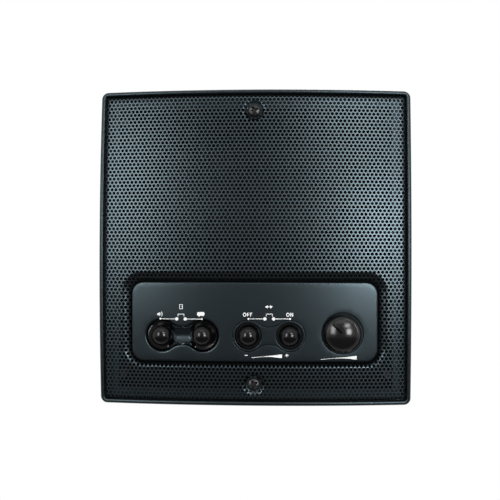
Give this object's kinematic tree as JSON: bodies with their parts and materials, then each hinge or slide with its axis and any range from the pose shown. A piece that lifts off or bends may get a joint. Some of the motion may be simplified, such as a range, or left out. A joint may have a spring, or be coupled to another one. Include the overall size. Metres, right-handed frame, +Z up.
{
  "type": "intercom room station",
  "caption": "Square wall intercom station with a domed perforated grille over a loudspeaker and a panel with a rocker, push buttons and a volume knob.",
  "frame": {"origin": "midway between the two fixing screws, on the wall's surface, where the flange's back lies", "axes": "+X to the right as seen from the room, +Y into the wall along the fixing screws, +Z up"},
  "size_m": [0.2106, 0.0688, 0.212],
  "materials": {
    "frame_plastic": "fine satin texture",
    "grille_paint": "satin black",
    "baffle_board": "matt",
    "panel_plastic": "fine grained satin",
    "key_plastic": "polished",
    "black_steel": "black oxide",
    "zinc_steel": "zinc plated",
    "white_nylon": "natural",
    "black_moulding": "moulded",
    "brass": "turned",
    "board_laminate": "green lacquer",
    "can_sleeve": "shrunk sleeve",
    "resistor_body": "lacquered",
    "terminal_green": "moulded",
    "red_insulation": "smooth",
    "black_insulation": "smooth",
    "gasket_board": "pressed",
    "surround_cloth": "doped",
    "cone_paper": "pressed",
    "former_paper": "wound",
    "copper_wire": "enamelled copper",
    "spider_cloth": "resin dipped",
    "ferrite": "ground",
    "phenolic": "pressed"
  },
  "bodies": {
    "station": {"bezel_frame": "frame_plastic", "baffle": "baffle_board", "baffle_screws": "zinc_steel", "grille": "grille_paint", "control_panel": "panel_plastic", "panel_screws": "zinc_steel", "button_guard": "panel_plastic", "fixing_screws": "black_steel", "screw_retainers": "white_nylon", "rocker_pin": "zinc_steel", "switch_bodies": "black_moulding", "switch_covers": "zinc_steel", "pot_can": "zinc_steel", "pot_bushing": "brass", "pot_washer": "zinc_steel", "pot_nut": "zinc_steel", "pot_lugs": "zinc_steel", "circuit_board": "board_laminate", "board_screws": "zinc_steel", "control_chip": "black_moulding", "amplifier_chip": "black_moulding", "capacitors": "can_sleeve", "resistors": "resistor_body", "transistors": "black_moulding", "terminal_block": "terminal_green", "terminal_screws": "zinc_steel", "speaker_header": "white_nylon", "speaker_lead_red": "red_insulation", "speaker_lead_black": "black_insulation", "speaker_gasket": "gasket_board", "speaker_basket": "zinc_steel", "speaker_screws": "zinc_steel", "cone_surround": "surround_cloth", "spider": "spider_cloth", "top_plate": "zinc_steel", "magnet": "ferrite", "back_plate": "zinc_steel", "tag_strip": "phenolic", "solder_tags": "brass"},
    "rocker": {"door_rocker": "key_plastic"},
    "left_switch": {"left_plunger": "black_moulding"},
    "right_switch": {"right_plunger": "black_moulding"},
    "minus_key": {"minus_button": "key_plastic", "minus_plunger": "black_moulding"},
    "plus_key": {"plus_button": "key_plastic", "plus_plunger": "black_moulding"},
    "volume": {"volume_knob": "key_plastic", "pot_shaft": "zinc_steel"},
    "cone": {"speaker_cone": "cone_paper", "dust_cap": "cone_paper", "coil_former": "former_paper", "coil_winding": "copper_wire"}
  },
  "joints": [
    {"name": "rocker_tip", "type": "hinge", "parent": "station", "child": "rocker", "pos_m": [-0.0481, -0.0152, -0.0591], "axis": [0, 0, 1], "range_deg": [-3.5, 3.5], "stiffness_Nm_per_rad": 0.4},
    {"name": "left_switch_press", "type": "slide", "parent": "station", "child": "left_switch", "axis": [0, 1, 0], "range_m": [-0.0009, 0.0009]},
    {"name": "right_switch_press", "type": "slide", "parent": "station", "child": "right_switch", "axis": [0, 1, 0], "range_m": [-0.0009, 0.0009]},
    {"name": "minus_press", "type": "slide", "parent": "station", "child": "minus_key", "axis": [0, 1, 0], "range_m": [0, 0.0012], "stiffness_N_per_m": 1200, "springref_m": -0.0003},
    {"name": "plus_press", "type": "slide", "parent": "station", "child": "plus_key", "axis": [0, 1, 0], "range_m": [0, 0.0012], "stiffness_N_per_m": 1200, "springref_m": -0.0003},
    {"name": "volume_turn", "type": "hinge", "parent": "station", "child": "volume", "pos_m": [0.05895, -0.02, -0.0574], "axis": [0, 1, 0], "range_deg": [-105, 195]},
    {"name": "cone_travel", "type": "slide", "parent": "station", "child": "cone", "axis": [0, 1, 0], "range_m": [-0.001, 0.001], "stiffness_N_per_m": 1500, "deforming": ["cone_surround", "spider"]}
  ],
  "couplings": [
    {"joint": "left_switch_press", "follows": "rocker_tip", "m_per_rad": -0.01375},
    {"joint": "right_switch_press", "follows": "rocker_tip", "m_per_rad": 0.01375}
  ]
}
